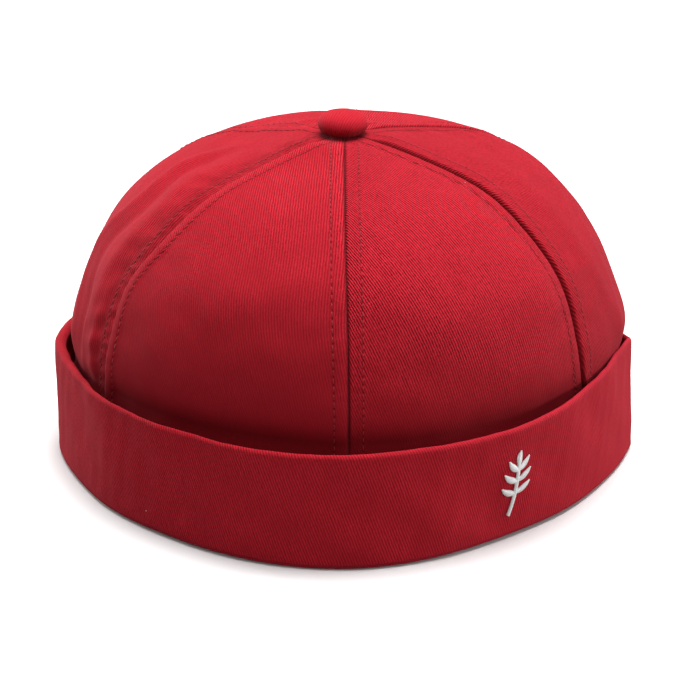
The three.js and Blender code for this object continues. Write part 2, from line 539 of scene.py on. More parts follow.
def make_twill_group() -> NodeTree:
    """Twill weave from coordinates in millimetres, x across the diagonal lines.

    Returns:
        The group: colour, height and roughness of the cloth.
    """
    group = Group("twill_weave", {
        "Place": (0, 0, 0), "Pitch": 0.8, "Raised Colour": (0.5, 0.02, 0.03, 1),
        "Sunken Colour": (0.2, 0.01, 0.01, 1), "Unevenness": 0.2, "Ribs": 1.0, "Specks": 1.0,
    })
    place, pitch, raised, sunken, unevenness, ribs, specks = group.inputs
    x, y = group.split(place)
    # diagonal lines, and the single floats of yarn that slant across them
    across = group.plus(x, group.noise(place, 0.5, 3), 0.5, middle=0.5)
    turns = group.math("DIVIDE", across, pitch)
    line = group.stripes(turns)
    floats = group.stripes(group.plus(turns, group.math("DIVIDE", y, pitch), 1.6))
    woven = group.plus(group.math("MULTIPLY", line, 0.75), floats, 0.25)
    # uneven yarn, from fuzz to blotches as wide as a thumb
    fuzz, yarn, blotch = (group.noise(place, *fine) for fine in ((3.2, 2), (1.1, 2), (0.09, 3)))
    streak = group.noise(group.stretch(place, (1.0, 0.09, 1.0)), 1.7, 2)
    marked = group.math("MULTIPLY", ribs, group.span(blotch, (0.3, 0.7), (0.7, 1.3)))
    rough = group.plus(group.plus(woven, fuzz, 0.35), streak, 0.4)
    tone = group.plus(line, blotch, unevenness, middle=0.5)
    tone = group.plus(group.plus(tone, streak, 0.6, middle=0.5), yarn, 1.0, middle=0.5)
    # the cloth grows brighter as marked grows: painted light where the twill is strong
    cloth = group.mix(group.plus(0.5, tone, marked, middle=0.41), sunken, raised)
    # a few pale specks of lint
    cells = group.node("TexVoronoi", {"Vector": place, "Scale": 0.16})
    near = group.span(cells.outputs["Distance"], (0.025, 0.045), (1, 0))
    picked = group.node("SeparateColor", {0: cells.outputs["Color"]}).outputs[0]
    rare = group.math("GREATER_THAN", picked, 0.93)
    lint = group.math("MULTIPLY", group.math("MULTIPLY", near, rare), specks)
    return group.gives({
        "Color": group.mix(lint, cloth, (0.75, 0.5, 0.48, 1)),
        "Height": group.math("MULTIPLY", rough, marked),
        "Roughness": group.span(woven, (0, 1), (0.98, 0.86)),
    })


def make_needle_group() -> NodeTree:
    """Needle holes at even steps on a line, from coordinates in millimetres along it.

    Returns:
        The group: a mask of the holes.
    """
    group = Group("needle_holes", {"Place": (0, 0, 0), "Pitch": 2.5, "Size": 0.42})
    place, pitch, size = group.inputs
    x, y = group.split(place)
    step = group.math("FRACT", group.math("DIVIDE", y, pitch))
    along = group.math("MULTIPLY", group.math("SUBTRACT", step, 0.5), pitch)
    along = group.math("MULTIPLY", along, 0.7)
    squares = [group.math("POWER", length, 2.0) for length in (along, x)]
    away = group.math("SQRT", group.math("ADD", *squares))
    uneven = group.plus(0.55, group.noise(place, 0.4, 1), 0.9)
    reach = group.math("DIVIDE", away, group.math("MULTIPLY", size, uneven))
    return group.gives({"Mask": group.span(reach, (0.45, 1.1), (1, 0))})


def make_wear_group() -> NodeTree:
    """Paler colour where ridges are worn and where highlights are painted, deeper colour where shade
    is painted and where the cloth is deep.

    Returns:
        The group: the worn colour, with its painted light and shade.
    """
    group = Group("wear_and_painted_light", {
        "Color": (0.5, 0.02, 0.03, 1), "Mark": 0.0, "Pale Colour": (0.7, 0.2, 0.2, 1),
        "Deep Colour": (0.1, 0.005, 0.005, 1),
    })
    colour, mark, pale, deep = group.inputs
    worn_and_painted_light = group.mix(group.span(mark, (0, 1), (0, 0.35)), colour, pale)
    return group.gives({"Color": group.mix(group.span(mark, (0, -1), (0, 0.75)), worn_and_painted_light, deep)})


def make_twist_group() -> NodeTree:
    """The slanting strands of a twisted thread, from coordinates in millimetres.

    Returns:
        The group: colour and height of the thread.
    """
    group = Group("thread_twist", {
        "Place": (0, 0, 0), "Pitch": 0.5, "Raised Colour": (0.8, 0.8, 0.8, 1),
        "Sunken Colour": (0.5, 0.5, 0.5, 1),
    })
    place, pitch, raised, sunken = group.inputs
    slant = group.math("ADD", *group.split(place))
    strand = group.stripes(group.math("DIVIDE", slant, pitch))
    height = group.plus(strand, group.noise(place, 2.0, 2), 0.4)
    return group.gives({"Color": group.mix(strand, sunken, raised), "Height": height})


# Finishes


@dataclass(frozen=True)
class Finish:
    """What every finish shares: a Principled surface in a material of its own."""

    name: str

    def start(self) -> tuple[Material, Wires, Node]:
        """Make the material.

        Returns:
            The material, its node tree and its Principled node.
        """
        material = bpy.data.materials.new(self.name)
        material.use_nodes = True
        tree = material.node_tree
        return material, Wires(tree), tree.nodes["Principled BSDF"]


@dataclass(frozen=True)
class TwillFinish(Finish):
    """Cotton twill, with its diagonal lines, worn ridges, painted light and shade, and a little lint.
    """

    raised: RGB = (0.62, 0.0185, 0.036)
    sunken: RGB = (0.12, 0.0007, 0.0015)
    pale: RGB = (0.62, 0.045, 0.08)
    deep: RGB = (0.11, 0.0022, 0.004)
    sheen_tint: RGB = (1.0, 0.38, 0.5)
    pitch: float = 0.82
    unevenness: float = 0.35
    depth: float = 0.2
    specks: float = 1.0
    hole_shade: float = 0.6
    hole_depth: float = 0.4
    stitched: bool = False

    def make(self, weave: NodeTree, wear: NodeTree, needle: NodeTree) -> Material:
        """Make the cloth's material.

        Args:
            weave: the twill group.
            wear: the group for worn ridges and painted light and shade.
            needle: the group for needle holes.

        Returns:
            The material.
        """
        material, wires, shader = self.start()
        cloth = wires.placed(weave, {
            "Place": wires.surface(WEAVE_MAP), "Pitch": self.pitch, "Ribs": wires.layer(RIB_AND_LIGHT_LAYER),
            "Raised Colour": (*self.raised, 1), "Sunken Colour": (*self.sunken, 1),
            "Unevenness": self.unevenness, "Specks": self.specks,
        })
        worn_and_painted_light = wires.placed(wear, {
            "Color": cloth.outputs["Color"], "Mark": wires.layer(WEAR_AND_SHADE_LAYER),
            "Pale Colour": (*self.pale, 1), "Deep Colour": (*self.deep, 1),
        })
        colour, height = worn_and_painted_light.outputs["Color"], cloth.outputs["Height"]
        if self.stitched:
            holes = wires.placed(needle, {"Place": wires.surface(SEAM_MAP)}).outputs["Mask"]
            shade = wires.math("MULTIPLY", holes, self.hole_shade)
            colour = wires.mix(shade, colour, (*self.deep, 1))
            height = wires.plus(height, holes, -self.hole_depth)
        wires.feed(shader, {
            "Base Color": colour, "Roughness": cloth.outputs["Roughness"],
            "Specular IOR Level": 0.09, "Sheen Weight": 0.05, "Sheen Roughness": 0.5,
            "Sheen Tint": (*self.sheen_tint, 1), "Normal": wires.bump(height, self.depth),
        })
        return material


@dataclass(frozen=True)
class ThreadFinish(Finish):
    """A twisted sewing thread."""

    raised: RGB = (0.42, 0.009, 0.022)
    sunken: RGB = (0.16, 0.003, 0.007)
    pitch: float = 0.45
    depth: float = 0.05
    roughness: float = 0.8
    sheen: float = 0.0

    def make(self, twist: NodeTree) -> Material:
        """Make the thread's material.

        Args:
            twist: the group for twisted strands.

        Returns:
            The material.
        """
        material, wires, shader = self.start()
        strand = wires.placed(twist, {
            "Place": wires.surface(WEAVE_MAP), "Pitch": self.pitch,
            "Raised Colour": (*self.raised, 1), "Sunken Colour": (*self.sunken, 1),
        })
        wires.feed(shader, {
            "Base Color": strand.outputs["Color"], "Roughness": self.roughness,
            "Sheen Weight": self.sheen, "Normal": wires.bump(strand.outputs["Height"], self.depth),
        })
        return material


@dataclass(frozen=True)
class SteelFinish(Finish):
    """Plain pressed steel with a fine brushed grain."""

    bright: RGB = (0.62, 0.62, 0.6)
    dull: RGB = (0.434, 0.434, 0.42)
    depth: float = 0.02

    def make(self) -> Material:
        """Make the metal's material.

        Returns:
            The material.
        """
        material, wires, shader = self.start()
        place = wires.node("TexCoord", {}).outputs["Object"]
        scratches = wires.noise(wires.stretch(place, (1, 0.06, 1)), 2400.0, 2)
        mottle = wires.noise(place, 900.0, 4)
        wires.feed(shader, {
            "Base Color": wires.mix(mottle, (*self.dull, 1), (*self.bright, 1)), "Metallic": 1.0,
            "Roughness": wires.span(scratches, (0, 1), (0.25, 0.55)),
            "Normal": wires.bump(scratches, self.depth),
        })
        return material


@dataclass(frozen=True)
class FloorFinish(Finish):
    """A plain pale studio floor that throws less light back than it shows."""

    seen: float = 0.86
    thrown: float = 0.3

    def make(self) -> Material:
        """Make the floor's material.

        Returns:
            The material.
        """
        material, wires, shader = self.start()
        is_seen = wires.node("LightPath", {}).outputs["Is Camera Ray"]
        dim, pale = ((grey, grey, grey, 1) for grey in (self.thrown, self.seen))
        wires.feed(shader, {
            "Base Color": wires.mix(is_seen, dim, pale), "Roughness": 1.0, "Specular IOR Level": 0.0,
        })
        return material


class Wardrobe:
    """All the materials, made once."""

    def __init__(self) -> None:
        """Build the shader groups and place them in the materials."""
        cloth = make_twill_group(), make_wear_group(), make_needle_group()
        twist = make_twist_group()
        self.outer = TwillFinish("red_twill").make(*cloth)
        self.crown = TwillFinish("red_twill_crown", stitched=True).make(*cloth)
        self.inner = TwillFinish("red_twill_inside", depth=0.3, specks=0.5).make(*cloth)
        self.topstitch = ThreadFinish("red_topstitch").make(twist)
        self.white_thread = ThreadFinish(
            "white_embroidery", (0.95, 0.94, 0.93), (0.86, 0.85, 0.84),
            pitch=0.5, roughness=0.5, sheen=1.0,
        ).make(twist)
        self.steel = SteelFinish("pressed_steel").make()
        self.floor = FloorFinish("pale_floor").make()


# The cap's main measures


@dataclass(frozen=True)
class Measures:
    """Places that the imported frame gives."""

    axis: tuple[float, float]
    half_width: float
    cuff_height: float
    crown_top: float

    @classmethod
    def from_frame(cls) -> Measures:
        """Read them from the frame's nodes.

        Returns:
            The measures.
        """
        axis = sum(frame_box("crown_button")) / 2
        cuff_low, cuff_high = frame_box("cuff")
        return cls(
            axis=(float(axis[0]), float(axis[1])),
            half_width=float(cuff_high[0] - cuff_low[0]) / 2,
            cuff_height=float(cuff_high[2]),
            crown_top=float(max(frame_box(seam.panel)[1][2] for seam in SEAMS)),
        )

    def polar(self, radius: ndarray, azimuth: ndarray, height: ndarray) -> ndarray:
        """Points at a distance from the cap's axis.

        Args:
            radius: distance from the axis.
            azimuth: where round the cap.
            height: height above the floor.

        Returns:
            The points.
        """
        x = self.axis[0] + radius * np.sin(azimuth)
        y = self.axis[1] - radius * np.cos(azimuth)
        return stack(x, y, height)


def dress(piece: Object, slot: Slot, *nodes: str) -> None:
    """Fix a piece to the cap's body and report it.

    Args:
        piece: the piece.
        slot: not used.
        nodes: the frame's nodes that it stands for.
    """
    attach(piece, BODY)
    if nodes:
        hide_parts(*nodes)
    LOG.info("%s: %d faces", piece.name, len(piece.data.polygons))


# Cuff


@dataclass(frozen=True)
class Cuff:
    """The folded band: outer wall with a rounded rim, fold at the foot, and hem inside.

    The tables run round the cap at equal azimuths from the front: outline and rim are radii as
    shares of the half width, lift is how far the fold stands off the floor, as a share of the
    largest lift, roll is how much thicker than the wall the rim is, and peak how far the rim
    rises above its level, both in millimetres. corner is where the band has a folded corner,
    which stands out by a share of the half width.
    """

    measures: Measures
    wall: float = 3.0
    floor: float = 2.4
    hem_height: float = 19.0
    hem_wall: float = 1.5
    channel: float = 2.1
    largest_lift: float = 2.0
    corner: float = math.radians(86.5)
    corner_width: float = math.radians(3)
    corner_size: float = 0.02
    grain: float = math.radians(-20)
    grain_size: float = 1.1
    stitch_pitch: float = 3.0
    stitch_length: float = 2.3
    stitch_below: float = 4.0
    stitch_proud: float = 0.12
    steps: int = 720
    outline: ClosedLine = ClosedLine((
        0.956, 0.94, 0.913, 0.909, 0.925, 0.957, 0.984, 0.96, 0.966, 0.962, 0.96, 0.96,
        0.96, 0.959, 0.957, 0.956, 0.962, 0.978, 0.997, 0.967, 0.949, 0.937, 0.94, 0.953,
    ))
    rim: ClosedLine = ClosedLine((
        0.968, 0.95, 0.944, 0.942, 0.934, 0.946, 0.958, 0.949, 0.957, 0.957, 0.955, 0.953,
        0.953, 0.953, 0.952, 0.95, 0.952, 0.966, 0.991, 0.964, 0.957, 0.945, 0.947, 0.963,
    ))
    lift: ClosedLine = ClosedLine((
        0, 0.2, 0.35, 0.35, 0.25, 0.1, 0, 0.1, 0.3, 0.25, 0.1, 0,
        0, 0.1, 0.25, 0.3, 0.15, 0, 0, 0, 0.04, 0.2, 0.24, 0.08,
    ))
    roll: ClosedLine = ClosedLine((
        -0.6, -0.6, -0.6, -0.7, -1.1, -1.3, -1.2, -0.2, 0.1, 0.2, 0.2, 0.2,
        0.2, 0.2, 0.3, 0.5, 0.8, 1.1, 1.0, 0.2, -0.7, -1.1, -1.0, -0.8,
    ))
    peak: ClosedLine = ClosedLine((0, 0, 0.1, 1.0, 1.9, 2.9, 0.9, -1.6, -0.6, *15 * (0,)))
    waves: Ripple = Ripple(seed=11, height=0.3, longest=60, shortest=22)
    wrinkles: Ripple = Ripple(seed=12, height=0.09, longest=14, shortest=6)

    def radius(self, azimuth: ndarray, height: ndarray) -> ndarray:
        """Radius of the outer wall.

        Args:
            azimuth: where round the cap.
            height: height above the fold.

        Returns:
            The radius without any waves.
        """
        share = np.clip(height / self.measures.cuff_height, 0, 1) ** 1.2
        wall = between((self.outline.at(azimuth), self.rim.at(azimuth)), share)
        away = np.abs(off_centre(azimuth, self.corner))
        corner = self.corner_size * np.exp(-away / self.corner_width) * between((0.75, 1), share)
        return self.measures.half_width * (wall + corner)

    def raised(self, azimuth: ndarray, height: ndarray) -> ndarray:
        """Height above the floor of a point of the band.

        Args:
            azimuth: where round the cap.
            height: height above the fold.

        Returns:
            The height.
        """
        share = np.clip(height / self.measures.cuff_height, 0, 1)
        lift = self.largest_lift * np.maximum(self.lift.at(azimuth), 0) * (1 - share) ** 1.3
        return height + lift + self.peak.at(azimuth) * share**3

    def waviness(self, azimuth: ndarray, height: ndarray) -> ndarray:
        """How far the outer wall's waves stand out."""
        arc = self.measures.half_width * azimuth
        return (self.waves.at(arc, height) + self.wrinkles.at(arc, height * 0.6)) * ease(height, 0, 8)

    def outside(self, azimuth: ndarray, height: ndarray) -> ndarray:
        """Points on the outer wall."""
        out = self.radius(azimuth, height) + self.waviness(azimuth, height)
        return self.measures.polar(out, azimuth, self.raised(azimuth, height))

    def section(self) -> tuple[ndarray, ndarray]:
        """The band's section, as inset from the outer wall and height.

        Returns:
            Insets and heights of the section's points.
        """

        def upright(inset: float, start: float, end: float, count: int) -> tuple[ndarray, ndarray]:
            """Points of a straight wall, without its ends."""
            return np.full(count, inset), np.linspace(start, end, count + 2)[1:-1]

        rim = self.wall / 2
        top = self.measures.cuff_height - rim
        inside = self.wall + self.channel
        total = inside + self.hem_wall
        fold, hem = self.floor * 0.75, self.hem_wall / 2
        hem_top = self.hem_height - hem
        quarter, half = np.linspace(0, math.pi / 2, 7), np.linspace(0, math.pi, 15)
        parts = [
            (np.zeros(44), np.linspace(fold, top, 44, endpoint=False)),
            (rim * (1 - np.cos(half)), top + rim * np.sin(half)),
            upright(self.wall, top, self.floor, 22),
            (np.linspace(self.wall, inside, 4), np.full(4, self.floor)),
            upright(inside, self.floor, hem_top, 8),
            (inside + hem * (1 - np.cos(half[::2])), hem_top + hem * np.sin(half[::2])),
            upright(total, hem_top, fold, 12),
            (total - fold * (1 - np.cos(quarter)), fold * (1 - np.sin(quarter))),
            (np.linspace(total - fold, fold, 5)[1:-1], np.zeros(3)),
            (fold * (1 - np.sin(quarter[:-1])), fold * (1 - np.cos(quarter[:-1]))),
        ]
        return tuple(np.concatenate(column) for column in zip(*parts))

    def shape(self) -> Shape:
        """The whole band.

        Returns:
            The band's shape.
        """
        inset, height = self.section()
        level, half_width = self.measures.cuff_height, self.measures.half_width
        azimuth = np.linspace(-math.pi, math.pi, self.steps, endpoint=False)[:, None]
        from_back = half_width * (math.pi - np.abs(azimuth))
        is_wall = inset < self.wall
        waves = self.waviness(azimuth, height[None]) * ease(-inset, -self.wall - 1, -self.wall)
        joint = 0.7 * hump(from_back, 0.8) - 0.25 * hump(from_back - 3, 2.5)
        near_rim = ease(height, level - 7, level - 1) * (inset < self.wall + 0.5)
        thick = self.roll.at(azimuth) * near_rim * np.clip(inset / self.wall, 0, 1)
        out = self.radius(azimuth, height[None]) - inset - thick + waves
        out = out - joint * (inset < self.wall / 2)
        grid = self.measures.polar(out, azimuth, self.raised(azimuth, height[None]))
        along = np.concatenate([[0], np.cumsum(np.hypot(np.diff(inset), np.diff(height)))])
        arc, cos, sin = half_width * azimuth, math.cos(self.grain), math.sin(self.grain)
        weave = stack(arc * cos - along * sin, arc * sin + along * cos) / self.grain_size
        # painted highlight on the rim's wearer's-left side and painted shade on its right side; the
        # fold is worn pale all round; the channel and the joint are deep
        wear = 0.5 * np.sin(azimuth) * hump(height - level, 1.6) * is_wall
        wear = wear + 0.4 * hump(height, 1.2) * is_wall - hump(from_back, 0.6)
        wear = wear - 0.5 * (~is_wall & (inset < self.wall + self.channel + 0.1))
        inner = np.broadcast_to(inset > self.wall / 2 + 0.5, out.shape)
        # the twill's strength and its painted light, greater on the wearer's right
        ribs = np.broadcast_to(0.44 - 0.16 * np.sin(azimuth), out.shape)
        return loft(grid, True, weave=weave, wear=wear, ribs=ribs, inner=inner)

    def hem_stitches(self) -> Shape:
        """The row of stitches round the hem, on the inside.

        Returns:
            The stitches' shape.
        """
        inset = self.wall + self.channel + self.hem_wall
        radius = self.measures.half_width - inset
        count = int(TURN * radius / self.stitch_pitch)
        spread = np.linspace(-1, 1, 5)
        azimuth = np.arange(count)[:, None] * TURN / count + spread / 2 * self.stitch_length / radius
        dip = self.stitch_proud * (1 - 2 * np.abs(spread) ** 3)
        height = np.full(azimuth.shape, self.hem_height - self.stitch_below)
        out = self.radius(azimuth, height) - inset - dip
        paths = self.measures.polar(out, azimuth, self.raised(azimuth, height))
        return threads(paths, stack(-np.sin(azimuth), np.cos(azimuth), 0), radius=0.2)

    def build(self, wardrobe: Wardrobe) -> None:
        """Make and dress the band and its hem's stitches."""
        dress(self.shape().build("twill_cuff", wardrobe.outer, wardrobe.inner), Slot.TWILL, "cuff")
        dress(self.hem_stitches().build("hem_stitches", wardrobe.topstitch), Slot.TWILL)


# Crown


@dataclass(frozen=True)
class Spot:
    """Places on a panel.

    share goes from 0 at its own seam to 1 at the next one, rise from 0 at the rim to 1 at the
    top, start and end are the distances to the two seams and climb the way up, in millimetres.
    """

    share: ndarray
    azimuth: ndarray
    radius: ndarray
    height: ndarray
    rise: ndarray
    start: ndarray
    end: ndarray
    climb: ndarray

    @property
    def near(self) -> ndarray:
        """Distance to the nearer seam."""
        return np.minimum(self.start, self.end)


@dataclass(frozen=True)
class Fold:
    """A soft ridge of the crown, or a dent where its depth is negative; angles in degrees."""

    azimuth: float
    height: float
    turn: float
    length: float
    width: float
    depth: float

    def at(self, spot: Spot) -> ndarray:
        """How far the fold stands out.

        Args:
            spot: the places.

        Returns:
            Heights of the relief.
        """
        x = spot.radius * off_centre(spot.azimuth, math.radians(self.azimuth))
        y = spot.height - self.height
        cos, sin = math.cos(math.radians(self.turn)), math.sin(math.radians(self.turn))
        return self.depth * hump(x * cos + y * sin, self.length) * hump(y * cos - x * sin, self.width)


FOLDS = (
    Fold(-17, 82.5, 8, 36, 9.5, 2.6),
    Fold(-20, 67, 4, 36, 10, 1.4),
    Fold(-3, 72, 0, 14, 11, 1.3),
    Fold(-28, 41, 0, 44, 12, -2.6),
    Fold(20, 79, -6, 22, 10, 0.8),
    Fold(48, 76, 0, 30, 12, 1.6),
    Fold(35, 41, 0, 48, 12, -2.4),
    Fold(24, 70, -25, 30, 9, 0.5),
    Fold(-66, 54, 86, 12, 2.0, 0.8),
    Fold(-72, 50, 86, 12, 2.2, 0.7),
    Fold(-92, 42, 0, 28, 9, 2.2),
    Fold(88, 46, 0, 20, 10, 1.8),
    Fold(80, 62, 88, 20, 3.2, 0.5),
    Fold(112, 101, 0, 46, 9, 0.9),
    Fold(140, 70, 30, 30, 8, 0.7),
    Fold(-150, 60, -20, 34, 10, -0.8),
    Fold(170, 52, 5, 26, 7, 0.6),
)


@dataclass(frozen=True)
class Streak:
    """A long soft ridge or dent up the crown; path holds azimuths as trace takes them."""

    path: tuple[float, ...]
    width: float
    depth: float

    def at(self, spot: Spot) -> ndarray:
        """How far the streak stands out.

        Args:
            spot: the places.

        Returns:
            Heights of the relief.
        """
        away = spot.radius * off_centre(spot.azimuth, trace(self.path, spot.rise))
        ends = ease(spot.rise, -0.05, 0.15) * fade(spot.rise, 0.86, 0.97)
        return self.depth * hump(away, self.width) * ends


STREAKS = (
    Streak((281, 280, 277, 277.5, 280, 262), 2.6, 1.0),
    Streak((287, 286, 284, 284, 287, 270), 3.0, -1.0),
    Streak((292.5, 292, 291, 292, 295, 285), 4.0, 0.8),
    Streak((80, 78, 74, 72, 72, 80), 5.0, 0.6),
)


@dataclass(frozen=True)
class Seam:
    """A seam between two panels, and the panel that follows it.

    path holds the seam's azimuths as trace takes them. step is how far the following panel's
    edge stands higher, roll how wide the higher edge's rounding is, pucker the height of the
    waves beside the seam, and crush_and_shade that of the small ones on its lower side and the
    width and depth of the painted shade there. grain is the twill's angle on the following panel
    in degrees, ribs the twill's strength, which also paints light on the cloth,
    and tone the painted shade on the panel, which paints it lighter where it is below 0, each
    low down and at the top.
    """

    panel: str
    path: tuple[float, ...]
    step: float
    roll: float
    pucker: float
    crush_and_shade: float
    grain: tuple[float, float]
    ribs: tuple[float, float]
    tone: tuple[float, float]


SEAMS = (
    Seam("panel_front_left", (0.8, 0.8, 0.7, 0.6, 0.4, 0.2, 0),
         -0.2, 1.2, 0.08, 0.05, (-11, -20), (0.15, 1.8), (0.36, -0.1)),
    Seam("panel_side_left", (61.3, 59.1, 58.9, 58.5, 57.6, 57, 58.5),
         0.36, 1.6, 0.12, 0.05, (-18, -18), (0.3, 0.9), (0.34, 0.34)),
    Seam("panel_back_left", (120, 120.1, 120.6, 120.5, 121.5, 122, 123),
         0.2, 1.5, 0.15, 0.06, (-18, -18), (0.35, 0.9), (0.15, 0.15)),
    Seam("panel_back_right", (180, 180.3, 179.7, 180.1, 179.9, 180.2, 180),
         -0.2, 1.5, 0.15, 0.06, (-18, -18), (0.35, 0.9), (0.15, 0.15)),
    Seam("panel_side_right", (240, 240.2, 239.4, 239.4, 238.1, 237.2, 236),
         0.2, 1.5, 0.15, 0.06, (-18, -18), (0.2, 0.55), (0, 0.3)),
    Seam("panel_front_right", (299, 300.3, 300.5, 301, 304.8, 308, 309),
         0.6, 1.3, 0.16, 0.15, (-17.5, -22), (0.05, 0.6), (0.38, 0.22)),
)


@dataclass(frozen=True)
class Edge:
    """What a seam does to the cloth beside it, on one of its two sides.

    order is the seam's place in the table, side the panel's edge that it is on and
    stitch_line how far from the seam the topstitching runs.
    """

    order: int
    side: Side
    stitch_line: float

    @property
    def seam(self) -> Seam:
        """The seam."""
        return SEAMS[self.order]

    @property
    def is_high(self) -> bool:
        """Whether this side lies higher than the other one."""
        return (self.seam.step > 0) == (self.side is Side.START)

    def away(self, spot: Spot) -> ndarray:
        """Distance from the seam."""
        return spot.start if self.side is Side.START else spot.end

    def relief(self, spot: Spot) -> ndarray:
        """How far the cloth stands out because of the seam.

        Args:
            spot: the places.

        Returns:
            Heights of the relief.
        """
        away, climb, seam, line = self.away(spot), spot.climb, self.seam, self.stitch_line
        seed = 100 + 2 * self.order + (self.side is Side.START)
        pucker = Ripple(seed, seam.pucker, 10, 5.5)
        quilt = Ripple(seed + 50, 0.05 if self.is_high else seam.crush_and_shade, 6, 2.6)
        # the folded allowance lifts the strip, which sinks at the seam and at the stitches
        strip = 0.4 * fade(away, line - 0.3, line + 1.6)
        strip = strip - 0.7 * hump(away, 0.45) - 0.22 * hump(away - line, 0.55)
        # puckers fan out beyond the stitches, small ones lie between them and the seam
        fan = pucker.at(climb + 0.35 * np.maximum(away - line, 0), 0.25 * away)
        reach = ease(away, 3.5, 7) * hump(np.maximum(away - 7, 0), 9)
        waves = fan * (0.4 if self.is_high else 1) * reach
        waves = waves + quilt.at(climb, 0.5 * away) * ease(away, 0.3, 1.2) * fade(away, 3.6, 5.4)
        # one side's turned edge stands over the other side
        step = abs(seam.step)
        turned = 1 - np.clip(1 - away / seam.roll, 0, 1) ** 2
        lean = 2 * step * np.sqrt(turned) - step if self.is_high else -1.6 * step
        return strip + waves + lean * hump(away, 10 if self.is_high else 5.5)

    def painted_seam_shade(self, spot: Spot) -> ndarray:
        """Painted shade on the gathered strip on a seam's lower side.

        Args:
            spot: the places.

        Returns:
            The painted shade.
        """
        away, crush_and_shade = self.away(spot), self.seam.crush_and_shade
        if self.is_high:
            return np.zeros(away.shape)
        edge = 3 + 32 * crush_and_shade + 6 * Ripple(60 + self.order, crush_and_shade, 9, 4).at(spot.climb, 0)
        uneven = 1 + 2 * Ripple(70 + self.order, crush_and_shade, 6, 2.4).at(spot.climb, away)
        return 2 * crush_and_shade * uneven * fade(away, edge - 2, edge + 1.6)


@dataclass(frozen=True)
class Crown:
    """Six panels sewn edge to edge, pressed open and topstitched on both sides of each seam.

    plan is the crown's widest radius round the cap, as shares of the half width. line is its
    way from the cuff's rim to the top: rise above the rim as a share of the crown's rise, and
    reach as a share of the widest radius.
    """

    measures: Measures
    cuff: Cuff
    cloth: float = 1.4
    allowance: float = 0.6
    puff: float = 1.3
    gap: float = 0.03
    clearance: float = 0.35
    hole: float = 2.3
    stitch_line: float = 4.5
    stitch_pitch: float = 2.5
    stitch_share: float = 0.74
    stitch_proud: float = 0.14
    hidden: float = 6.0
    columns: int = 96
    low_rows: int = 16
    high_rows: int = 200
    plan: ClosedLine = ClosedLine((
        0.898, 0.889, 0.905, 0.938, 0.918, 0.902, 0.896, 0.883, 0.887, 0.911, 0.901, 0.89,
    ))
    line: tuple[tuple[float, float], ...] = (
        (0, 0.998), (0.1, 1.0), (0.2, 0.988), (0.33, 0.953), (0.46, 0.908),
        (0.61, 0.838), (0.75, 0.737), (0.87, 0.577), (0.955, 0.302), (1, 0),
    )
    softness: Ripple = Ripple(seed=21, height=0.28, longest=70, shortest=24)
    creases: Ripple = Ripple(seed=22, height=0.07, longest=18, shortest=7)

    def profile(self) -> ndarray:
        """The crown's line from its lower edge to the top.

        Returns:
            Rows of place along the line from 0 to 1, height, reach, seat, rise and climb. Seat
            is 1 where the cloth lies against the cuff's inner face.
        """
        rim, top = self.measures.cuff_height, self.measures.crown_top
        knots = np.array([*self.line, (self.line[-2][0], -self.line[-2][1])])
        upper = cubic(knots, np.linspace(0, len(self.line) - 1, 400))
        low = np.linspace(self.cuff.floor + self.clearance, rim, 60)[:-1]
        height = np.concatenate([low, rim + (top - rim) * upper[:, 0]])
        reach = np.concatenate([np.full(len(low), self.line[0][1]), np.maximum(upper[:, 1], 0)])
        seat = fade(height, self.cuff.hem_height + self.clearance, rim)
        rise = np.concatenate([np.zeros(len(low)), upper[:, 0]])
        run = self.measures.half_width * 0.9 * reach
        climb = np.concatenate([[0], np.cumsum(np.hypot(np.diff(run), np.diff(height)))])
        return np.stack([climb / climb[-1], height, reach, seat, rise, climb])

    def hidden_until(self, row: int) -> float:
        """How far up the cuff hides the crown, as a row of the profile tells it."""
        profile = self.profile()
        return float(np.interp(self.measures.cuff_height - self.hidden, profile[1], profile[row]))

    def rows(self) -> ndarray:
        """Places of the mesh's rows, coarse inside the cuff and fine above it.

        Returns:
            The places, from 0 at the lower edge to 1 at the top.
        """
        start = self.hidden_until(0)
        low = np.linspace(0, start, self.low_rows, endpoint=False)
        return np.concatenate([low, np.linspace(start, 1, self.high_rows)])

    def build(self, wardrobe: Wardrobe) -> None:
        """Make and dress the panels and their stitches.

        Args:
            wardrobe: the materials.
        """
        for order, seam in enumerate(SEAMS):
            name = seam.panel.replace("panel", "twill")
            panel = Panel(self, order)
            cloth = panel.shape().build(name, wardrobe.crown, wardrobe.inner)
            dress(cloth, Slot.TWILL, seam.panel)
            for side in Side:
                row = panel.stitches(side)
                row = row.build(f"{name}_stitches_{side.name.lower()}", wardrobe.topstitch)
                dress(row, Slot.TWILL)


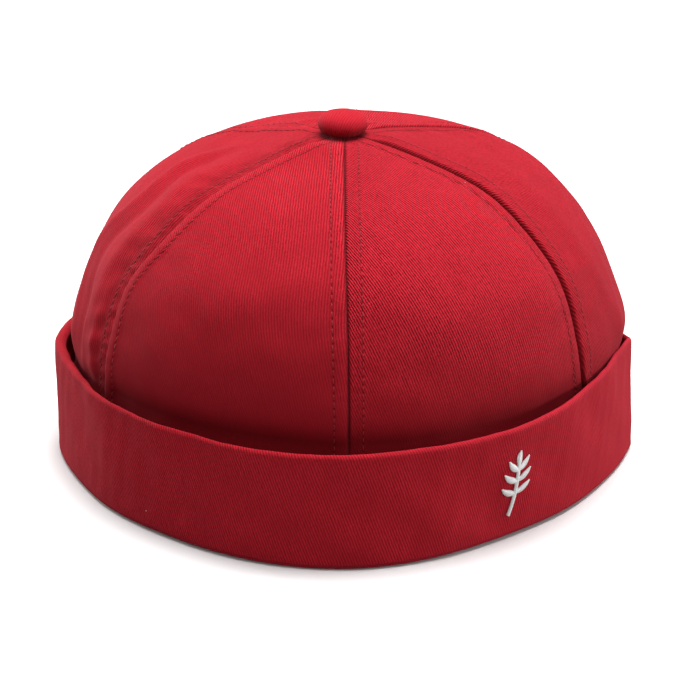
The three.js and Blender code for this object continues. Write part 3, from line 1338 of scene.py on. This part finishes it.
@dataclass(frozen=True)
class Panel:
    """One panel of the crown, between its own seam and the next one."""

    crown: Crown
    order: int

    @property
    def edges(self) -> tuple[Edge, Edge]:
        """The panel's two sides.

        Returns:
            The one at its own seam and the one at the next seam.
        """
        after = (self.order + 1) % len(SEAMS)
        line = self.crown.stitch_line
        return Edge(self.order, Side.START, line), Edge(after, Side.END, line)

    def find(self, share: ndarray, along: ndarray) -> Spot:
        """Where a place on the panel is.

        Args:
            share: from 0 at the panel's own seam to 1 at the next one.
            along: from 0 at the lower edge to 1 at the top.

        Returns:
            The places.
        """
        crown, cuff = self.crown, self.crown.cuff
        place, *columns = crown.profile()
        height, reach, seat, rise, climb = (np.interp(along, place, column) for column in columns)
        first, last = (trace(edge.seam.path, rise) for edge in self.edges)
        if self.order == len(SEAMS) - 1:
            last = last + TURN
        middle = first + (last - first) * share
        widest = crown.measures.half_width * crown.plan.at(middle)
        free = crown.hole + (widest - crown.hole) * reach
        seated = cuff.radius(middle, height) - cuff.wall - crown.clearance
        radius = free + (seated - free) * seat
        azimuth = middle + crown.gap / 2 / radius * (1 - 2 * share)
        start, end = radius * (azimuth - first), radius * (last - azimuth)
        return Spot(share, azimuth, radius, height, rise, start, end, climb)

    def base(self, share: ndarray, along: ndarray) -> ndarray:
        """Points of the panel without its relief."""
        spot = self.find(share, along)
        return self.crown.measures.polar(spot.radius, spot.azimuth, spot.height)

    def normal(self, share: ndarray, along: ndarray) -> ndarray:
        """Directions out of the panel without its relief.

        Args:
            share: places across the panel.
            along: places up the panel.

        Returns:
            The directions.
        """
        step = 0.004
        high, low = np.clip(along + step, 0, 1), np.clip(along - step, 0, 1)
        up = self.base(share, high) - self.base(share, low)
        across = self.base(share + step, along) - self.base(share - step, along)
        tip = ease(along, 0.97, 1)[..., None]
        return unit(unit(np.cross(across, up)) * (1 - tip) + np.array([0, 0, 1.0]) * tip)

    def relief(self, spot: Spot) -> tuple[ndarray, ndarray]:
        """How far the cloth stands out from the base.

        Args:
            spot: the places.

        Returns:
            Heights of the outer face, and the part of them that the inner face follows.
        """
        crown, rim = self.crown, self.crown.measures.cuff_height
        full = crown.puff * np.sin(math.pi * spot.rise) * (1 - (2 * spot.share - 1) ** 4)
        shown = ease(spot.height, rim - 12, rim) * fade(spot.rise, 0.985, 0.999)
        arc = spot.radius * (spot.azimuth - TURN * (spot.azimuth > math.pi)) + 500 * self.order
        soft = crown.softness.at(arc, spot.climb) + crown.creases.at(arc, spot.climb)
        soft = soft * ease(spot.near, 0, 6) + sum(form.at(spot) for form in (*STREAKS, *FOLDS))
        body = full + soft * shown
        return body + sum(edge.relief(spot) for edge in self.edges) * shown, body

    def weave(self, spot: Spot) -> ndarray:
        """Coordinates along the cloth, turned so that x runs across the twill's lines.

        Args:
            spot: the places.

        Returns:
            The coordinates in millimetres.
        """
        across = (spot.start - spot.end) / 2
        low, top = (math.sin(math.radians(angle)) for angle in SEAMS[self.order].grain)
        bend = spot.climb**2 * (top - low) / 2 / self.crown.profile()[5][-1]
        turn = math.asin((low + top) / 2)
        x = across * math.cos(turn) - spot.climb * low - bend
        y = across * math.sin(turn) + spot.climb * math.cos(turn)
        return stack(x + 300 * self.order, y)

    def stitch_place(self, spot: Spot) -> ndarray:
        """Coordinates from the nearer topstitching line and along it, in millimetres."""
        line = np.minimum(self.crown.stitch_line, 0.46 * (spot.start + spot.end))
        return stack(spot.near - line, spot.climb - self.crown.hidden_until(5))

    def outer_wear(self, spot: Spot) -> ndarray:
        """How pale or deep the outer face is: worn ridges beside the seams, painted shade in the
        seams' grooves, above the cuff's rim and on the seams' lower sides, and each panel's tone of
        painted shade.

        Args:
            spot: the places.

        Returns:
            The marks.
        """
        rim, near = self.crown.measures.cuff_height, spot.near
        front = between((0.3, 1), np.maximum(np.cos(spot.azimuth), 0))
        # painted shade on the crown just above the cuff's rim, strongest at the front
        shade = 0.8 * front * fade(spot.height, rim - 3, rim + 10)
        # painted shade on the gathered strips on the seams' lower sides
        shade = shade + sum(edge.painted_seam_shade(spot) for edge in self.edges)
        shown = ease(spot.height, rim - 10, rim - 8)
        # each panel's tone: painted shade, graded from low down to the top, and lighter where it is
        # below 0
        shade = shade + between(SEAMS[self.order].tone, spot.rise) * shown
        # a worn pale ridge beside each seam, and painted shade in the seam's groove
        return 0.15 * hump(near - 1.4, 1.0) - 0.9 * hump(near, 0.5) - shade

    def shape(self) -> Shape:
        """The panel as a closed wall of cloth.

        Returns:
            The panel's shape.
        """

        def both(outer: ndarray, inner: ndarray) -> ndarray:
            """The outer face's values, and the inner face's on the way back."""
            return np.concatenate([outer, inner[:, ::-1]], axis=1)

        crown = self.crown
        even = np.linspace(0, 1, crown.columns)
        share, along = np.meshgrid(even - 0.6 * np.sin(TURN * even) / TURN, crown.rows())
        spot = self.find(share, along)
        outer, body = self.relief(spot)
        base, normal = self.base(share, along), self.normal(share, along)
        rim, near = crown.measures.cuff_height, spot.near
        folded = fade(near, 6.2, 6.8) * ease(spot.height, rim, rim + 5) * fade(spot.rise, 0.93, 0.97)
        depth = body - crown.cloth - crown.allowance * folded
        # the twill's strength and its painted light, from the seam's table and greater on the sewn
        # strips
        sewn = fade(near, 2.6, 4.6)
        ribs = between(SEAMS[self.order].ribs, spot.rise) * (1 + 0.25 * sewn) + 0.06 * sewn
        ribs = np.clip(ribs, 0.08, 1.7)
        cloth, stitched = self.weave(spot), self.stitch_place(spot)
        return loft(
            both(base + normal * outer[..., None], base + normal * depth[..., None]),
            False,
            weave=both(cloth, cloth),
            seam=both(stitched, stitched),
            wear=both(self.outer_wear(spot), -0.4 * hump(near - 6.5, 0.6)),
            ribs=both(ribs, ribs),
            inner=both(np.zeros(near.shape, dtype=bool), np.ones(near.shape, dtype=bool)),
        )

    def stitches(self, side: Side) -> Shape:
        """The topstitching along one edge of the panel.

        Args:
            side: which edge it follows.

        Returns:
            The stitches' shape.
        """
        crown = self.crown
        place, *_, climb = crown.profile()
        middle = np.arange(crown.hidden_until(5), climb[-1] - 8, crown.stitch_pitch)[:, None]
        spread = np.linspace(-1, 1, 5)
        along = middle + spread / 2 * crown.stitch_share * crown.stitch_pitch
        along = np.interp(along, climb, place)
        width = 2 * self.find(np.full(along.shape, 0.5), along).start
        away = np.minimum(crown.stitch_line, 0.46 * width) / width
        share = away if side is Side.START else 1 - away
        normal = self.normal(share, along)
        outer, _ = self.relief(self.find(share, along))
        proud = outer + crown.stitch_proud * (1 - 2.2 * np.abs(spread) ** 3)
        return threads(self.base(share, along) + normal * proud[..., None], normal, radius=0.17)


# Button


@dataclass(frozen=True)
class Button:
    """The covered button: cloth drawn round a dome and gathered under its edge.

    line is its outline from the foot's middle to the top, as shares of its radius and height.
    """

    measures: Measures
    size: float = 0.96
    aside: float = 0.6
    grain: float = math.radians(-70)
    gathers: float = 0.13
    softness: float = 0.06
    steps: int = 144
    rings: int = 46
    line: tuple[tuple[float, float], ...] = (
        (0.0, 0.0), (0.4, 0.0), (0.72, 0.01), (0.9, 0.15), (1.0, 0.38),
        (0.97, 0.63), (0.8, 0.85), (0.44, 0.97), (0.0, 1.0),
    )

    def shape(self) -> Shape:
        """The button.

        Returns:
            The button's shape.
        """
        low, high = frame_box("crown_button")
        half, tall = self.size * (high[0] - low[0]) / 2, self.size * (high[2] - low[2])
        outline = cubic(np.array(self.line), np.linspace(0, len(self.line) - 1, self.rings))
        reach, rise = outline[1:-1].T
        radius, height = np.maximum(reach, 0.01) * half, low[2] + np.clip(rise, 0, 1) * tall
        azimuth = np.arange(self.steps)[None] * TURN / self.steps
        under = fade(rise, 0.05, 0.45) * ease(reach, 0.3, 0.9)
        drawn = self.gathers * under[:, None] * np.sin(26 * azimuth + np.sin(3 * azimuth))
        soft = self.softness * np.sin(5 * azimuth + 1) * ease(reach, 0.2, 1)[:, None]
        out = radius[:, None] + drawn + soft
        grid = self.measures.polar(out, azimuth, height[:, None]) - np.array([self.aside, 0, 0])
        steps = np.hypot(np.diff(radius), np.diff(height))
        travel = np.concatenate([np.cumsum(steps[::-1])[::-1], [0]])[:, None]
        turned = azimuth + self.grain
        weave = stack(travel * np.cos(turned), travel * np.sin(turned)).reshape(-1, 2)
        index = np.arange(out.size).reshape(out.shape)
        # painted shade on the button's lower half, under its dome; the twill's strength and its
        # painted light follow it
        shade = np.broadcast_to(fade(rise, 0.12, 0.62)[:, None], out.shape).ravel()
        caps = [list(index[0][::-1]), list(index[-1])]
        points = grid.reshape(-1, 3)
        return Shape(points, tube(index), caps, weave, wear=-shade, ribs=between((0.2, 0.7), shade))

    def build(self, wardrobe: Wardrobe) -> None:
        """Make and dress the button."""
        dress(self.shape().build("covered_button", wardrobe.outer), Slot.TWILL, "crown_button")


# Emblem


@dataclass(frozen=True)
class Stroke:
    """One stroke of the embroidery: a bent line, filled with stitches across it.

    Points are in millimetres from the emblem's middle, x towards the wearer's left.
    """

    start: tuple[float, float]
    bend: tuple[float, float]
    end: tuple[float, float]
    width: float
    pointed: bool = True


@dataclass(frozen=True)
class Sprig:
    """A small leafy sprig in white satin stitch on the left front of the cuff."""

    cuff: Cuff
    azimuth: float = math.radians(36.2)
    height: float = 19.6
    spacing: float = 0.4
    thread: float = 0.25
    slant: float = 0.35
    flat: float = 0.12
    dome: float = 0.5
    strokes: tuple[Stroke, ...] = (
        Stroke((-1.8, -11.6), (0.6, -3.0), (0.4, 7.6), 1.3, pointed=False),
        Stroke((0.4, 7.0), (0.2, 9.8), (0.9, 12.0), 2.3),
        Stroke((0.4, 5.4), (3.0, 6.4), (4.6, 9.2), 2.1),
        Stroke((0.3, 5.0), (-2.2, 6.4), (-3.6, 9.3), 2.1),
        Stroke((0.3, 1.6), (3.4, 2.2), (5.6, 4.8), 2.2),
        Stroke((0.2, 1.0), (-2.8, 2.0), (-5.0, 4.8), 2.2),
        Stroke((0.0, -2.8), (3.2, -2.4), (5.6, 0.0), 2.2),
        Stroke((-0.1, -3.4), (-3.2, -2.8), (-5.4, -0.4), 2.2),
    )

    def lay(self, stroke: Stroke) -> tuple[ndarray, ndarray]:
        """The stitches of one stroke.

        Args:
            stroke: the stroke.

        Returns:
            The threads' paths and the surface's directions, threads by points by 3.
        """
        start, bend, end = (np.array(point) for point in (stroke.start, stroke.bend, stroke.end))
        length = np.linalg.norm(bend - start) + np.linalg.norm(end - bend)
        t = np.linspace(0.02, 0.98, max(int(length / self.spacing), 4))[:, None]
        middle = (1 - t) ** 2 * start + 2 * t * (1 - t) * bend + t**2 * end
        along = unit(2 * (1 - t) * (bend - start) + 2 * t * (end - bend))
        across = stack(-along[:, 1], along[:, 0]) + self.slant * along
        full = np.sin(math.pi * t**0.8) ** 0.75 if stroke.pointed else np.ones_like(t)
        half = stroke.width / 2 * np.maximum(full, 0.2)
        spread = np.linspace(-1, 1, 7)
        flat = middle[:, None] + across[:, None] * (half * spread)[..., None]
        proud = self.flat + self.dome * (1 - spread**2) * np.sqrt(half / 1.1)
        azimuth = self.azimuth + flat[..., 0] / self.cuff.radius(self.azimuth, self.height)
        normals = stack(np.sin(azimuth), -np.cos(azimuth), 0)
        outside = self.cuff.outside(azimuth, self.height + flat[..., 1])
        return outside + normals * proud[..., None], normals

    def build(self, wardrobe: Wardrobe) -> None:
        """Make and dress the embroidery.

        Args:
            wardrobe: the materials.
        """
        laid = [self.lay(stroke) for stroke in self.strokes]
        paths, normals = (np.concatenate(part) for part in zip(*laid))
        sprig = threads(paths, normals, self.thread).build("sprig_emblem", wardrobe.white_thread)
        dress(sprig, Slot.TWILL)


# Studio


@dataclass(frozen=True)
class Lamp:
    """A soft rectangular lamp. Places and sizes in metres, power in watts."""

    name: str
    place: tuple[float, float, float]
    target: tuple[float, float, float]
    size: tuple[float, float]
    power: float


@dataclass(frozen=True)
class Studio:
    """Floor, lamps and camera. Sizes of the floor and the lamps in metres."""

    measures: Measures
    floor_size: float = 12.0
    sky: float = 0.28
    elevation: float = math.radians(22.0)
    distance: float = 850.0
    focal: float = 2507.0
    drop: float = 45.8
    frame: float = 680.0
    sensor: float = 36.0
    look_x: float = -1.5
    look_z: float = 55.0
    lamps: tuple[Lamp, ...] = (
        Lamp("top_lamp", (0.08, 0.1, 1.5), (0, 0.02, 0.06), (1.1, 0.9), 39.5),
        Lamp("right_lamp", (1.5, 0.25, 0.14), (0, 0, 0.05), (0.8, 0.25), 12.5),
        Lamp("left_lamp", (-1.2, 1.1, 0.28), (0, 0, 0.05), (0.8, 0.3), 16.5),
        Lamp("front_lamp", (0.5, -1.6, 0.7), (0, 0, 0.05), (1.2, 0.8), 4),
    )

    def lay_floor(self, material: Material) -> None:
        """Make the floor.

        Args:
            material: its finish.
        """
        half = self.floor_size / 2
        mesh = bpy.data.meshes.new("floor")
        corners = [(-half, -half, 0), (half, -half, 0), (half, half, 0), (-half, half, 0)]
        mesh.from_pydata(corners, [], [(0, 1, 2, 3)])
        mesh.materials.append(material)
        floor = add_object("floor", mesh)

    def hang_lamps(self) -> None:
        """Make the lamps and the room's own soft light."""
        for lamp in self.lamps:
            light = bpy.data.lights.new(lamp.name, "AREA")
            light.shape = "RECTANGLE"
            light.size, light.size_y = lamp.size
            light.energy = lamp.power
            holder = add_object(lamp.name, light)
            holder.location = lamp.place
            aim = Vector(lamp.target) - Vector(lamp.place)
            holder.rotation_euler = aim.to_track_quat("-Z", "Y").to_euler()
        world = bpy.data.worlds.new("room")
        world.use_nodes = True
        room = world.node_tree.nodes["Background"]
        Wires(world.node_tree).feed(room, {"Color": (1, 1, 1, 1), "Strength": self.sky})
        bpy.context.scene.world = world

    def set_camera(self) -> None:
        """Put the camera at the photograph's angle."""
        cos, sin = math.cos(self.elevation), math.sin(self.elevation)
        look = np.array([self.measures.axis[0] + self.look_x, self.measures.axis[1], self.look_z])
        eye = look + self.distance * np.array([0, -cos, sin])
        aim = look - np.array([0, sin, cos]) * self.drop * self.distance / self.focal - eye
        data = bpy.data.cameras.new("camera")
        data.sensor_width = self.sensor
        data.lens = self.sensor * self.focal / self.frame
        data.clip_start, data.clip_end = 0.05, 50.0
        camera = add_object("camera", data)
        camera.location = eye * METRES
        camera.rotation_euler = Vector(aim).to_track_quat("-Z", "Y").to_euler()
        bpy.context.scene.camera = camera


# Putting it together


def main() -> None:
    """Load the frame and build every piece in order."""
    logging.basicConfig(level=logging.INFO, format="%(name)s %(message)s")
    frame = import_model()
    wardrobe = Wardrobe()
    measures = Measures.from_frame()
    cuff = Cuff(measures)
    Crown(measures, cuff).build(wardrobe)
    cuff.build(wardrobe)
    Button(measures).build(wardrobe)
    Sprig(cuff).build(wardrobe)
    stud = frame["nodes"]["button_stud"]
    stud.data.materials.clear()
    stud.data.materials.append(wardrobe.steel)
    studio = Studio(measures)
    studio.lay_floor(wardrobe.floor)
    studio.hang_lamps()
    studio.set_camera()
    bpy.context.scene.view_settings.view_transform = "Standard"


if __name__ == "__main__":
    main()
